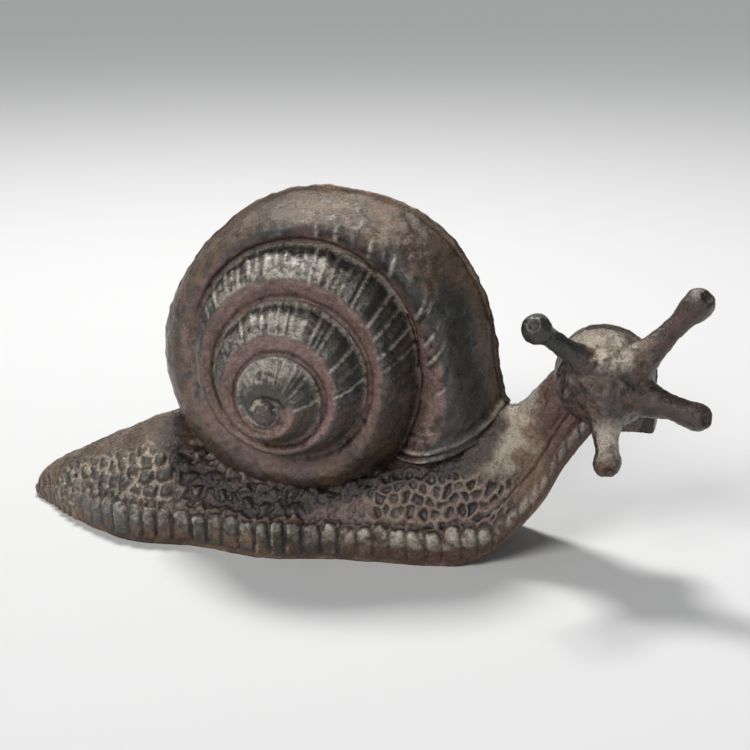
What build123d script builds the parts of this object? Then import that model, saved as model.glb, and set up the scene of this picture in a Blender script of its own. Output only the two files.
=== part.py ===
# Cast iron snail: two hollow half castings that meet on the upright mid plane, held by two
# slotted screws from the far side. X runs from tail to head, Y away from the spire side, Z up.
# The origin is on the ground, in the parting plane, under the middle of the coiled shell.
from build123d import *
import os
from math import cos, sin, tau, hypot

# Both castings
WALL = 4.0
OVERRUN = 2.0
ROOT_DROP = 0.4

# Shell outline in the parting plane
SHELL_RADIUS = 40.8
SHELL_X = 2.0
SHELL_LIFT = 1.8
OUTLINE_SHARES = (1.0, 1.02, 0.97, 0.94, 0.995, 0.97, 0.92, 0.96)
FAR_PROUD = 0.9
RIM_DEPTH = 0.8
LIP_FLARE = 5.0
FLARE_TURN = 0.06

# Suture that winds in from the outline to the apex. Its shares are of the shell's radius: those of
# its own radius, of what each turn takes off that, and of its middle and the apex, x and z.
SUTURE_RADIUS_SHARE = 0.676
TURN_LOSS_SHARES = (0.211, 0.0034)
SUTURE_MIDDLE_SHARES = (-0.056, 0.12)
APEX_DRIFT_SHARES = (-0.015, -0.238)
SUTURE_DEPTH = 6.5
SPIRE_DEPTH = 32.0
SPIRE_POWER = 0.68
SUTURE_START_TURN = 0.62
APEX_TURN = 3.7

# Whorls between the turns of the suture
LIP_TURN = -0.19
SECTIONS_PER_TURN = 8
MIN_SECTIONS = 3
NEAR_COIL_TURNS = (LIP_TURN, 0.3, 0.7, 1.15, 1.6, 2.1, 2.6, 3.1, APEX_TURN)
FAR_COIL_TURNS = (LIP_TURN, 0.3, 0.7, 1.15, 1.6, 2.1, 2.6, 3.1)
HOLLOW_TURNS = (0.5, 1, 2)
WHORL_OVERLAP = 1.0
LIP_SWELL = 5.5
SWELL_END_TURN = 0.45
SWELL_POWER = 0.7
WHORL_PROFILE_SHARES = ((0.0, 0.0), (0.1, 0.38), (0.28, 0.76), (0.5, 0.98), (0.75, 1.06), (1.0, 1.0))
NUCLEUS_RADIUS_SHARE = 0.088
FAR_RELIEF_SHARE = 0.62

# Foot, tail and neck. Each station gives its sole point and its top point, x as a share of the
# tail's reach and z as a share of the neck's height, then its share of the foot's half width.
TAIL_REACH = 77.2
NECK_HEIGHT = 49.0
FOOT_HALF_WIDTH = 26.6
STATION_SHARES = (
    ((-1.0, 0.0), (-1.0, 0.065), 0.08),
    ((-0.97, 0.0), (-0.97, 0.12), 0.24),
    ((-0.88, 0.0), (-0.88, 0.21), 0.43),
    ((-0.77, 0.0), (-0.77, 0.3), 0.65),
    ((-0.62, 0.0), (-0.62, 0.415), 0.88),
    ((-0.48, 0.0), (-0.48, 0.5), 1.0),
    ((-0.285, 0.0), (-0.285, 0.45), 0.93),
    ((-0.065, 0.0), (-0.065, 0.44), 0.98),
    ((0.13, 0.0), (0.13, 0.45), 0.82),
    ((0.325, 0.0), (0.31, 0.49), 0.745),
    ((0.48, 0.0), (0.455, 0.59), 0.66),
    ((0.6, 0.075), (0.56, 0.705), 0.555),
    ((0.685, 0.215), (0.63, 0.715), 0.48),
    ((0.745, 0.345), (0.685, 0.81), 0.445),
    ((0.785, 0.475), (0.735, 0.91), 0.415),
    ((0.83, 0.585), (0.78, 1.0), 0.37),
    ((0.89, 0.715), (0.855, 1.0), 0.225),
)
BAND_HEIGHT = 8.6
BAND_LEDGE = 2.2
BAND_LIMIT_SHARE = 0.42
BAND_EDGE_SHARES = ((0.5, 0.5), (1.0, 0.6), (1.15, 1.5))
FLANK_SHARES = ((0.66, 0.55), (0.36, 0.87))
SOLE_DIP = 1.0
FRILL_FIRST = 1
FRILL_LAST = 14
FRILL_PITCH = 4.0
FRILL_GROOVE = 1.1
HOLLOW_FIRST = 3
HOLLOW_LAST = 12

# Head, turned to the spire side, at a share of the tail's reach and one of the neck's height
HEAD_X_SHARE = 0.887
HEAD_Y = -3.5
HEAD_Z_SHARE = 0.904
HEAD_TURN = 58.0
HEAD_RADIUS = 10.8
HEAD_LENGTH = 12.5
JAW_LENGTH = 14.0
JAW_WIDTH = 6.0
JAW_HEIGHT = 6.4
JAW_SETBACK = 2.5
JAW_DROP = 10.1
JAW_ROUND = 1.2

# Tentacles, all in shares of the head's half length. Each has its base centre and its tip centre
# from the middle of the head, then the radius at the base, at the stalk's end and of the tip.
TENTACLE_SHARES = (
    ((-0.04, -0.44, 0.26), (-0.95, -1.4, 1.18), 0.29, 0.16, 0.255),
    ((0.44, -0.44, 0.18), (1.575, -0.2, 1.52), 0.385, 0.17, 0.27),
    ((0.52, -0.4, -0.1), (1.72, -0.6, -0.36), 0.37, 0.215, 0.235),
    ((0.12, -0.6, -0.345), (0.27, -1.0, -1.255), 0.37, 0.225, 0.25),
)

# Screws, and the bosses that carry them
SCREW_RADIUS = 2.5
SCREW_CLEARANCE = 0.15
SCREW_HEAD_RADIUS = 4.6
SCREW_HEAD_HEIGHT = 3.0
SCREW_SLOT_WIDTH = 1.2
SCREW_SLOT_DEPTH = 1.3
SCREW_ENGAGEMENT = 12.0
SCREW_HOLE_SPARE = 2.0
POCKET_CLEARANCE = 0.6
BOSS_WALL = 3.0
HUB_MARGIN = 1.5
HUB_STEP_MARGIN = 4.3
HUB_STEP_SHARE = 0.76
SHELL_SCREW_SEAT = 13.0
TAIL_SCREW_SHARE = -0.57
TAIL_SCREW_Z = 8.0
TAIL_SCREW_SEAT = 14.0

# Locating pegs of the near casting, and their sockets, placed as the stations are
PEG_RADIUS = 2.0
PEG_LENGTH = 3.0
PEG_CLEARANCE = 0.2
PEG_PLACE_SHARES = ((-0.855, 0.102), (0.732, 0.633))


SHELL_Z = SHELL_LIFT + SHELL_RADIUS
SUTURE_X = SHELL_X + SUTURE_MIDDLE_SHARES[0] * SHELL_RADIUS
SUTURE_Z = SHELL_Z + SUTURE_MIDDLE_SHARES[1] * SHELL_RADIUS
SCREW_X = SUTURE_X + APEX_DRIFT_SHARES[0] * SHELL_RADIUS
SCREW_Z = SUTURE_Z + APEX_DRIFT_SHARES[1] * SHELL_RADIUS
NUCLEUS_RADIUS = NUCLEUS_RADIUS_SHARE * SHELL_RADIUS
HEAD_X = HEAD_X_SHARE * TAIL_REACH
HEAD_Z = HEAD_Z_SHARE * NECK_HEIGHT
TAIL_SCREW_X = TAIL_SCREW_SHARE * TAIL_REACH
SCREW_SPOTS = ((SCREW_X, SCREW_Z), (TAIL_SCREW_X, TAIL_SCREW_Z))
SCREW_SEATS = (SHELL_SCREW_SEAT, TAIL_SCREW_SEAT)
PEG_SPOTS = [(x * TAIL_REACH, z * NECK_HEIGHT) for x, z in PEG_PLACE_SHARES]
BOSS_RADIUS = SCREW_HEAD_RADIUS + POCKET_CLEARANCE + BOSS_WALL
BOSS_REACH = SPIRE_DEPTH + WALL


def suture_radius(n):
    """Radius of the suture n turns in from its start."""
    first, second = TURN_LOSS_SHARES
    return SHELL_RADIUS * (SUTURE_RADIUS_SHARE - n * (first - second * n))


def suture_middle(radius):
    """The x and z that the suture turns round where it has this radius."""
    drift = 1 - radius / (SHELL_RADIUS * SUTURE_RADIUS_SHARE)
    return SUTURE_X + (SCREW_X - SUTURE_X) * drift, SUTURE_Z + (SCREW_Z - SUTURE_Z) * drift


def suture_depth(n):
    """Distance of the suture from the parting plane, n turns in from its start."""
    share = min(max((n - LIP_TURN) / (APEX_TURN - LIP_TURN - 1), 0), 1)
    return SUTURE_DEPTH + (SPIRE_DEPTH - SUTURE_DEPTH) * share**SPIRE_POWER


def suture_point(t):
    """Point of the suture at turn t, as x, depth and z; it starts at turn 1."""
    radius = max(suture_radius(t - 1), NUCLEUS_RADIUS / 2)
    x, z = suture_middle(radius)
    return x + radius * cos(tau * t), suture_depth(t - 1), z + radius * sin(tau * t)


def outline_radius(t, proud):
    """Radius of the shell's outline at turn t, eased between the shares for each eighth."""
    place = (t % 1) * len(OUTLINE_SHARES)
    first = int(place) % len(OUTLINE_SHARES)
    ease = (1 - cos(tau / 2 * (place - int(place)))) / 2
    low = OUTLINE_SHARES[first]
    high = OUTLINE_SHARES[(first + 1) % len(OUTLINE_SHARES)]
    return SHELL_RADIUS * (low + (high - low) * ease) + proud


def border_point(t, proud):
    """Outer border of the whorl at turn t: the outline, which eases into the suture by turn 1."""
    if t >= 1:
        return suture_point(t)
    radius = outline_radius(t, proud) + LIP_FLARE * min(max(-t / FLARE_TURN, 0), 1)
    outline = (SHELL_X + radius * cos(tau * t), RIM_DEPTH, SHELL_Z + radius * sin(tau * t))
    if t <= SUTURE_START_TURN:
        return outline
    ease = (1 - cos(tau / 2 * (t - SUTURE_START_TURN) / (1 - SUTURE_START_TURN))) / 2
    return tuple(low + (high - low) * ease for low, high in zip(outline, suture_point(t)))


def whorl_section(t, root, relief, proud):
    """Closed wire across one whorl, from its outer border in past its inner suture."""
    start = border_point(t, proud)
    end = border_point(t + 1, proud)
    width = hypot(end[0] - start[0], end[2] - start[2])
    along = ((end[0] - start[0]) / width, (end[2] - start[2]) / width)

    def place(distance, depth):
        return Vector(start[0] + along[0] * distance, -depth, start[2] + along[1] * distance)

    rise = end[1] - start[1]
    fade = min(max((SWELL_END_TURN - t) / (SWELL_END_TURN - LIP_TURN), 0), 1)
    swell = LIP_SWELL * fade * (2 - fade)
    crest = [
        place(s * width, relief * (start[1] + rise * g + swell * sin(tau / 2 * s**SWELL_POWER)))
        for s, g in WHORL_PROFILE_SHARES
    ]
    crest.append(place(width + WHORL_OVERLAP, relief * end[1]))
    low_inner = place(width + WHORL_OVERLAP, -root)
    low_outer = place(0, -root)
    return Wire([
        Spline(crest),
        Line(crest[-1], low_inner),
        Line(low_inner, low_outer),
        Line(low_outer, crest[0]),
    ])


def shell_side(coil, relief, proud):
    """One side of the coiled shell, as stretches of whorl run together, laid out to the near side."""
    stretches = []
    for i, (first, last) in enumerate(zip(coil, coil[1:])):
        count = max(round((last - first) * SECTIONS_PER_TURN), MIN_SECTIONS)
        turns = [first + (last - first) * k / count for k in range(count + 1)]
        root = OVERRUN + i * ROOT_DROP
        stretches.append(Solid.make_loft([whorl_section(t, root, relief, proud) for t in turns]))
    return stretches[0].fuse(*stretches[1:])


def shell_hollow(relief):
    """The space inside one side of the shell, drawn in by the wall, laid out to the near side."""
    rim = SHELL_RADIUS * min(OUTLINE_SHARES) - WALL
    wires = [Wire([Edge.make_circle(rim, Plane((SHELL_X, OVERRUN, SHELL_Z), z_dir=(0, 1, 0)))])]
    for n in HOLLOW_TURNS:
        x, z = suture_middle(suture_radius(n))
        plane = Plane((x, WALL - relief * suture_depth(n), z), z_dir=(0, 1, 0))
        wires.append(Wire([Edge.make_circle(suture_radius(n) - WALL, plane)]))
    return Solid.make_loft(wires)


def station_frame(station):
    """A station's sole point, its way up as a unit vector, its height and its half width."""
    (sole_x, sole_z), (top_x, top_z), width_share = station
    sole = Vector(sole_x * TAIL_REACH, 0, sole_z * NECK_HEIGHT)
    rise = Vector(top_x * TAIL_REACH, 0, top_z * NECK_HEIGHT) - sole
    return sole, rise.normalized(), rise.length, width_share * FOOT_HALF_WIDTH


def body_section(station, inset):
    """Closed wire across the foot or neck at one station, drawn in all round by the inset."""
    sole, up, height, half_width = station_frame(station)
    band = min(BAND_HEIGHT, BAND_LIMIT_SHARE * height)
    step = BAND_LEDGE * band / BAND_HEIGHT
    wide = half_width - inset
    high = height - inset

    def place(across, rise):
        return sole + up * rise + Vector(0, across, 0)

    side = [place(wide - step / 2, inset or -SOLE_DIP)]
    side += [place(wide - step * in_share, band * up_share) for up_share, in_share in BAND_EDGE_SHARES]
    side += [place(wide * w, band + (high - band) * h) for w, h in FLANK_SHARES]
    points = [Vector(p.X, -p.Y, p.Z) for p in side] + [place(0, high)] + side[::-1]
    return Wire([Spline(points), Line(points[-1], points[0])])


def frill_grooves(side):
    """Square bars laid cornerwise up the foot's edge on one side, which cut it into blocks."""
    low, high = [], []
    for station in STATION_SHARES[FRILL_FIRST:FRILL_LAST + 1]:
        sole, up, height, half_width = station_frame(station)
        band = min(BAND_HEIGHT, BAND_LIMIT_SHARE * height)
        across = Vector(0, side * (half_width - BAND_LEDGE * band / BAND_HEIGHT / 2), 0)
        low.append(sole + across)
        high.append(sole + across + up * band)
    low = Spline(low)
    high = Spline(high)
    count = round(low.length / FRILL_PITCH)
    bars = []
    for k in range(1, count):
        foot = low @ (k / count)
        rise = high @ (k / count) - foot
        plane = Plane(origin=foot + rise / 2, x_dir=low % (k / count), z_dir=rise)
        bars.append(plane.location * Rot(0, 0, 45) * Box(FRILL_GROOVE, FRILL_GROOVE, rise.length))
    return bars


def body():
    """Tail, foot and neck of both halves in one, a little past the sole's plane."""
    return Solid.make_loft([body_section(station, 0) for station in STATION_SHARES])


def body_hollow():
    """The space inside the foot and the lower neck."""
    stations = STATION_SHARES[HOLLOW_FIRST:HOLLOW_LAST + 1]
    return Solid.make_loft([body_section(station, WALL) for station in stations])


def head():
    """Egg shaped head of both halves in one."""
    half = Wire([
        Edge.make_ellipse(HEAD_LENGTH, HEAD_RADIUS, start_angle=0, end_angle=180),
        Line((-HEAD_LENGTH, 0, 0), (HEAD_LENGTH, 0, 0)),
    ])
    return Pos(HEAD_X, HEAD_Y, HEAD_Z) * Rot(0, 0, -HEAD_TURN) * revolve(Face(half), Axis.X, 360)


def jaw():
    """Square ended jaw of the far casting."""
    block = Box(JAW_LENGTH, JAW_WIDTH + OVERRUN, JAW_HEIGHT)
    block = fillet(block.edges().filter_by(Axis.X), JAW_ROUND)
    x = HEAD_X - JAW_SETBACK + JAW_LENGTH / 2
    return Pos(x, (JAW_WIDTH - OVERRUN) / 2, HEAD_Z - JAW_DROP) * block


def tentacle(base, tip, base_share, stalk_share, tip_share):
    """Tapered stalk with a ball end, turned in one."""
    middle = Vector(HEAD_X, HEAD_Y, HEAD_Z)
    root = middle + Vector(*base) * HEAD_LENGTH
    axis = middle + Vector(*tip) * HEAD_LENGTH - root
    stalk = stalk_share * HEAD_LENGTH
    ball = tip_share * HEAD_LENGTH
    neck = axis.length - (ball**2 - stalk**2)**0.5
    end = axis.length + ball
    half = Wire([
        Line((0, 0, 0), (base_share * HEAD_LENGTH, 0, 0)),
        Line((base_share * HEAD_LENGTH, 0, 0), (stalk, 0, neck)),
        ThreePointArc((stalk, 0, neck), (ball, 0, axis.length), (0, 0, end)),
        Line((0, 0, end), (0, 0, 0)),
    ])
    return Plane(origin=root, z_dir=axis).location * revolve(Face(half), Axis.Z, 360)


def rod(x, z, radius, start, end):
    """Round bar across the parting plane, from one y to another."""
    plane = Plane(origin=(x, start, z), z_dir=(0, 1 if end > start else -1, 0))
    return Solid.make_cylinder(radius, abs(end - start), plane)


def screw(x, z, seat):
    """Slotted cheese head screw, its head seated in the far casting, its end in the near one."""
    shank = rod(x, z, SCREW_RADIUS, seat, -SCREW_ENGAGEMENT)
    top = rod(x, z, SCREW_HEAD_RADIUS, seat, seat + SCREW_HEAD_HEIGHT)
    slot = Box(3 * SCREW_HEAD_RADIUS, 2 * SCREW_SLOT_DEPTH, SCREW_SLOT_WIDTH)
    return shank + top - Pos(x, seat + SCREW_HEAD_HEIGHT, z) * slot


def hollow(side, shell_space):
    """The space inside one casting, less the pillars round the screws."""
    space = shell_space + body_hollow()
    for x, z in SCREW_SPOTS:
        space -= rod(x, z, BOSS_RADIUS, -side * OVERRUN, side * BOSS_REACH)
    return space


def keep_side(side):
    """The block of space over the sole's plane on one side of the parting plane."""
    size = 4 * (TAIL_REACH + SHELL_RADIUS)
    return Pos(0, side * size / 2, size / 2) * Box(size, size, size)


def near_half():
    """Casting with the spire, the near flank, the face and the tentacles."""
    nucleus = Pos(SCREW_X, -SPIRE_DEPTH + NUCLEUS_RADIUS / 2, SCREW_Z) * Sphere(NUCLEUS_RADIUS)
    face = head()
    for shares in TENTACLE_SHARES:
        face += tentacle(*shares)
    shape = shell_side(NEAR_COIL_TURNS, 1, 0) + nucleus + body() + face
    shape &= keep_side(-1)
    shape -= hollow(-1, shell_hollow(1))
    shape -= frill_grooves(-1)
    for x, z in SCREW_SPOTS:
        shape -= rod(x, z, SCREW_RADIUS + SCREW_CLEARANCE, OVERRUN, -SCREW_ENGAGEMENT - SCREW_HOLE_SPARE)
    for x, z in PEG_SPOTS:
        shape += rod(x, z, PEG_RADIUS, -OVERRUN, PEG_LENGTH)
    return shape


def far_half():
    """Casting with the flatter side of the shell, the far flank, the crown and the jaw."""
    hub_face = FAR_RELIEF_SHARE * SPIRE_DEPTH
    hub = rod(SCREW_X, SCREW_Z, BOSS_RADIUS + HUB_MARGIN, -OVERRUN, hub_face)
    hub += rod(SCREW_X, SCREW_Z, BOSS_RADIUS + HUB_STEP_MARGIN, -OVERRUN, HUB_STEP_SHARE * hub_face)
    coil = mirror(shell_side(FAR_COIL_TURNS, FAR_RELIEF_SHARE, FAR_PROUD), about=Plane.XZ)
    shape = coil + hub + body() + (head() + jaw())
    shape &= keep_side(1)
    shape -= hollow(1, mirror(shell_hollow(FAR_RELIEF_SHARE), about=Plane.XZ))
    shape -= frill_grooves(1)
    for (x, z), seat in zip(SCREW_SPOTS, SCREW_SEATS):
        shape -= rod(x, z, SCREW_RADIUS + SCREW_CLEARANCE, -OVERRUN, seat + OVERRUN)
        shape -= rod(x, z, SCREW_HEAD_RADIUS + POCKET_CLEARANCE, seat, BOSS_REACH)
    for x, z in PEG_SPOTS:
        shape -= rod(x, z, PEG_RADIUS + PEG_CLEARANCE, -OVERRUN, PEG_LENGTH + PEG_CLEARANCE)
    return shape


def main():
    os.makedirs("parts", exist_ok=True)
    pieces = {
        "near_half": near_half(),
        "far_half": far_half(),
        "shell_screw": screw(SCREW_X, SCREW_Z, SHELL_SCREW_SEAT),
        "tail_screw": screw(TAIL_SCREW_X, TAIL_SCREW_Z, TAIL_SCREW_SEAT),
    }
    for name, shape in pieces.items():
        export_step(shape, f"parts/{name}.step")


if __name__ == "__main__":
    main()
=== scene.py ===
import bmesh
import bpy
import numpy as np
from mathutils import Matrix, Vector


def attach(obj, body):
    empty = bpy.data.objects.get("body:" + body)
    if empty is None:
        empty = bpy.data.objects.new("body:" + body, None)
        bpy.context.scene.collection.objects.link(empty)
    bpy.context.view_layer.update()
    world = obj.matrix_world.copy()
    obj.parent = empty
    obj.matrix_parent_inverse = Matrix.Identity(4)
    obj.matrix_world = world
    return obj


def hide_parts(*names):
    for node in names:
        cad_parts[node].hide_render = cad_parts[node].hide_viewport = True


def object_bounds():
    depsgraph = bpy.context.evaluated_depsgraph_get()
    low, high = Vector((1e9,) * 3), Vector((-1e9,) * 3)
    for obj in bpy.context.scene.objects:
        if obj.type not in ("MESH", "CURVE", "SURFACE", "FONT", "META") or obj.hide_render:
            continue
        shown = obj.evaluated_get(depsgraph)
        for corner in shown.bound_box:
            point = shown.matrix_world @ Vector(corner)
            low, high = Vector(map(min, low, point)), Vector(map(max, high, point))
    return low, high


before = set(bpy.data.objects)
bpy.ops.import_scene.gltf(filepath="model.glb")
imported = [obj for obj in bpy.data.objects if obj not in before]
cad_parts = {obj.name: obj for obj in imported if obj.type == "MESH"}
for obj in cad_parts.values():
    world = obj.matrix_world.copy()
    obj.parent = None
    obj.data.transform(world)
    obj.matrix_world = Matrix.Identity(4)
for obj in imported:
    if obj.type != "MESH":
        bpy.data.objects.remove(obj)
cad_box = [list(corner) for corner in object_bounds()]
bpy.ops.object.select_all(action="DESELECT")

# Studio: a plain pale floor under a pale room, a soft lamp high behind the snail that throws its
# shadow forward, a wide sun in front, a weak lamp at the head's end, and the camera on its spire side.
VIEW_TURN = np.radians(18)
VIEW_RISE = np.radians(17)
VIEW_DISTANCE = 0.3525
VIEW_TARGET = Vector((0.014, 0, 0.0388))
SUN_PLACE = (-0.32, -0.85, 0.62)
WARM_WHITE = (1.0, 0.985, 0.96)
view_back = Vector((
    np.sin(VIEW_TURN) * np.cos(VIEW_RISE),
    -np.cos(VIEW_TURN) * np.cos(VIEW_RISE),
    np.sin(VIEW_RISE),
))
bpy.ops.object.camera_add(
    location=VIEW_TARGET + view_back * VIEW_DISTANCE,
    rotation=(-view_back).to_track_quat("-Z", "Y").to_euler(),
)
camera = bpy.context.object
camera.data.lens = 72
camera.data.sensor_width = 36
camera.data.clip_start = 0.01
bpy.context.scene.camera = camera


def aim_lamp(name, place, size, power, tint):
    """Square area lamp that looks at the snail."""
    back = Vector(place) - VIEW_TARGET
    turned = back.to_track_quat("Z", "Y").to_euler()
    bpy.ops.object.light_add(type="AREA", location=place, rotation=turned)
    lamp = bpy.context.object
    lamp.name = name
    lamp.data.shape = "SQUARE"
    lamp.data.size = size
    lamp.data.energy = power
    lamp.data.color = tint


aim_lamp("back_lamp", (-0.18, 0.26, 0.78), 0.19, 5.6, WARM_WHITE)
bpy.ops.object.light_add(type="SUN", location=SUN_PLACE)
front_lamp = bpy.context.object
front_lamp.name = "front_lamp"
front_lamp.rotation_euler = Vector(SUN_PLACE).to_track_quat("Z", "Y").to_euler()
front_lamp.data.energy = 2.0
front_lamp.data.angle = np.radians(25)
front_lamp.data.color = WARM_WHITE
aim_lamp("side_lamp", (0.75, -0.55, 0.35), 0.6, 0.4, (0.96, 0.98, 1.0))

bpy.ops.mesh.primitive_plane_add(size=8)
floor = bpy.context.object
floor.name = "floor"
floor_paint = bpy.data.materials.new("floor_paint")
floor_paint.use_nodes = True
floor_shader = floor_paint.node_tree.nodes["Principled BSDF"]
floor_shader.inputs["Base Color"].default_value = (0.72, 0.73, 0.74, 1)
floor_shader.inputs["Roughness"].default_value = 0.85
floor.data.materials.append(floor_paint)

world = bpy.data.worlds.new("pale_room")
world.use_nodes = True
backdrop = world.node_tree.nodes["Background"]
backdrop.inputs["Color"].default_value = (0.74, 0.76, 0.78, 1)
backdrop.inputs["Strength"].default_value = 0.2
bpy.context.scene.world = world
bpy.context.scene.view_settings.view_transform = "Standard"

# Stain on both castings: brown oxide rubbed into the sand grain, green black left on raised panels,
# a mauve bloom in the hollows and pale dust on the ridges and on what faces up, under a thin wax.
# The pale also carries painted highlights and a painted top light; the black carries painted shade.
def add_node(tree, kind, label, **values):
    """New node, with its sockets set by name."""
    node = tree.nodes.new(kind)
    node.label = label
    for key, value in values.items():
        node.inputs[key].default_value = value
    return node


def add_noise(tree, place, label, scale, detail, roughness=0.6):
    """Noise texture at a place, from 0 to 1."""
    node = add_node(tree, "ShaderNodeTexNoise", label, Scale=scale, Detail=detail, Roughness=roughness)
    tree.links.new(place, node.inputs["Vector"])
    return node.outputs["Fac"]


def add_range(tree, value, low, high, to_low=0.0, to_high=1.0):
    """A value moved from one range to another, and held inside it."""
    node = tree.nodes.new("ShaderNodeMapRange")
    for socket, limit in zip(("From Min", "From Max", "To Min", "To Max"), (low, high, to_low, to_high)):
        node.inputs[socket].default_value = limit
    tree.links.new(value, node.inputs["Value"])
    return node.outputs["Result"]


def add_math(tree, first, second, operation="MULTIPLY"):
    """Product or sum of two values, each a socket or a number."""
    node = tree.nodes.new("ShaderNodeMath")
    node.operation = operation
    for socket, value in zip(node.inputs, (first, second)):
        if isinstance(value, (int, float)):
            socket.default_value = value
        else:
            tree.links.new(value, socket)
    return node.outputs["Value"]


def add_mix(tree, share, under, over):
    """Mix of two colours, each a socket or three numbers."""
    node = tree.nodes.new("ShaderNodeMix")
    node.data_type = "RGBA"
    tree.links.new(share, node.inputs["Factor"])
    for socket, value in ((node.inputs[6], under), (node.inputs[7], over)):
        if isinstance(value, tuple):
            socket.default_value = (*value, 1)
        else:
            tree.links.new(value, socket)
    return node.outputs[2]


BROWN = (0.198, 0.122, 0.07)
UMBER = (0.08, 0.042, 0.022)
RUST = (0.1, 0.04, 0.025)
SHADE_AND_GRAIN_BLACK = (0.012, 0.01, 0.009)
GREEN_BLACK = (0.015, 0.018, 0.013)
MAUVE = (0.26, 0.158, 0.145)
DUST_AND_HIGHLIGHT = (0.46, 0.42, 0.345)
MARKS = ("Dust_and_highlight", "Panel", "Bloom", "Painted_shade_and_stain", "Rust")

stain = bpy.data.node_groups.new("cast_stain", "ShaderNodeTree")
for socket in MARKS:
    stain.interface.new_socket(socket, in_out="INPUT", socket_type="NodeSocketFloat")
stain.interface.new_socket("Color", in_out="OUTPUT", socket_type="NodeSocketColor")
for socket in ("Roughness", "Wax", "Height"):
    stain.interface.new_socket(socket, in_out="OUTPUT", socket_type="NodeSocketFloat")
stain_in = stain.nodes.new("NodeGroupInput").outputs
stain_out = stain.nodes.new("NodeGroupOutput").inputs
place = stain.nodes.new("ShaderNodeTexCoord").outputs["Object"]
facing = stain.nodes.new("ShaderNodeNewGeometry").outputs["Normal"]
upward = stain.nodes.new("ShaderNodeSeparateXYZ")
stain.links.new(facing, upward.inputs["Vector"])
blotches = add_noise(stain, place, "blotches", 95, 5, 0.65)
patches = add_noise(stain, place, "patches", 330, 4, 0.7)
grain = add_noise(stain, place, "sand grain", 1700, 4, 0.8)
specks = add_noise(stain, place, "specks", 3000, 2, 0.7)
colour = add_mix(stain, add_range(stain, blotches, 0.4, 0.56), BROWN, UMBER)
bloom = add_math(stain, stain_in["Bloom"], add_range(stain, patches, 0.3, 0.55, 0.3, 1))
colour = add_mix(stain, bloom, colour, MAUVE)
rust = add_math(stain, stain_in["Rust"], add_range(stain, patches, 0.3, 0.5, 0.5, 1))
colour = add_mix(stain, rust, colour, RUST)
panel = add_math(stain, stain_in["Panel"], add_range(stain, patches, 0.28, 0.5, 0.6, 1))
colour = add_mix(stain, panel, colour, GREEN_BLACK)
worn_off = add_range(stain, grain, 0.4, 0.6, 0.4, 0)
colour = add_mix(stain, worn_off, colour, SHADE_AND_GRAIN_BLACK)
# pale on what faces up: partly settled dust, partly a painted top light
top_dust_and_light = add_range(stain, upward.outputs["Z"], 0.4, 1.0, 0, 0.22)
top_dust_and_light = add_math(stain, top_dust_and_light, add_range(stain, grain, 0.44, 0.6))
colour = add_mix(stain, top_dust_and_light, colour, DUST_AND_HIGHLIGHT)
# pale on ridges: real rubbed dust, plus the painted highlights that the same mark carries
pale_rub_and_highlight = add_math(stain, stain_in["Dust_and_highlight"], add_range(stain, grain, 0.34, 0.56, 0.25, 0.95))
colour = add_mix(stain, pale_rub_and_highlight, colour, DUST_AND_HIGHLIGHT)
colour = add_mix(stain, add_range(stain, specks, 0.66, 0.74, 0, 0.6), colour, DUST_AND_HIGHLIGHT)
# painted shade: this mark darkens creases, hollows, crevices and shaded sides to near black, along with dark
# joint lines and a few stain streaks
colour = add_mix(stain, add_range(stain, stain_in["Painted_shade_and_stain"], 0, 1, 0, 0.92), colour, SHADE_AND_GRAIN_BLACK)
stain.links.new(colour, stain_out["Color"])
stain.links.new(add_range(stain, grain, 0.35, 0.65, 0.18, 0.42), stain_out["Roughness"])
wax = add_range(stain, stain_in["Panel"], 0.1, 0.9, 0.04, 0.5)
wax = add_math(stain, wax, add_range(stain, grain, 0.38, 0.52, 0.35, 1))
stain.links.new(wax, stain_out["Wax"])
lumps = add_noise(stain, place, "lumps", 480, 3)
height = add_math(stain, lumps, 0.35)
height = add_math(stain, height, add_math(stain, grain, 0.65), "ADD")
stain.links.new(height, stain_out["Height"])


def iron_finish(name):
    """Waxed cast iron that reads the marks on its mesh."""
    material = bpy.data.materials.new(name)
    material.use_nodes = True
    tree = material.node_tree
    shader = tree.nodes["Principled BSDF"]
    shader.inputs["Metallic"].default_value = 0.3
    shader.inputs["Specular IOR Level"].default_value = 0.9
    shader.inputs["Coat Roughness"].default_value = 0.33
    group = tree.nodes.new("ShaderNodeGroup")
    group.node_tree = stain
    for mark in MARKS:
        reader = tree.nodes.new("ShaderNodeAttribute")
        reader.attribute_name = mark.lower()
        tree.links.new(reader.outputs["Fac"], group.inputs[mark])
    bump = add_node(tree, "ShaderNodeBump", "cast skin", Strength=0.8, Distance=0.0005)
    tree.links.new(group.outputs["Height"], bump.inputs["Height"])
    for source, target in (("Color", "Base Color"), ("Roughness", "Roughness"), ("Wax", "Coat Weight")):
        tree.links.new(group.outputs[source], shader.inputs[target])
    tree.links.new(bump.outputs["Normal"], shader.inputs["Normal"])
    return material


near_iron = iron_finish("near_iron")

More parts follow.
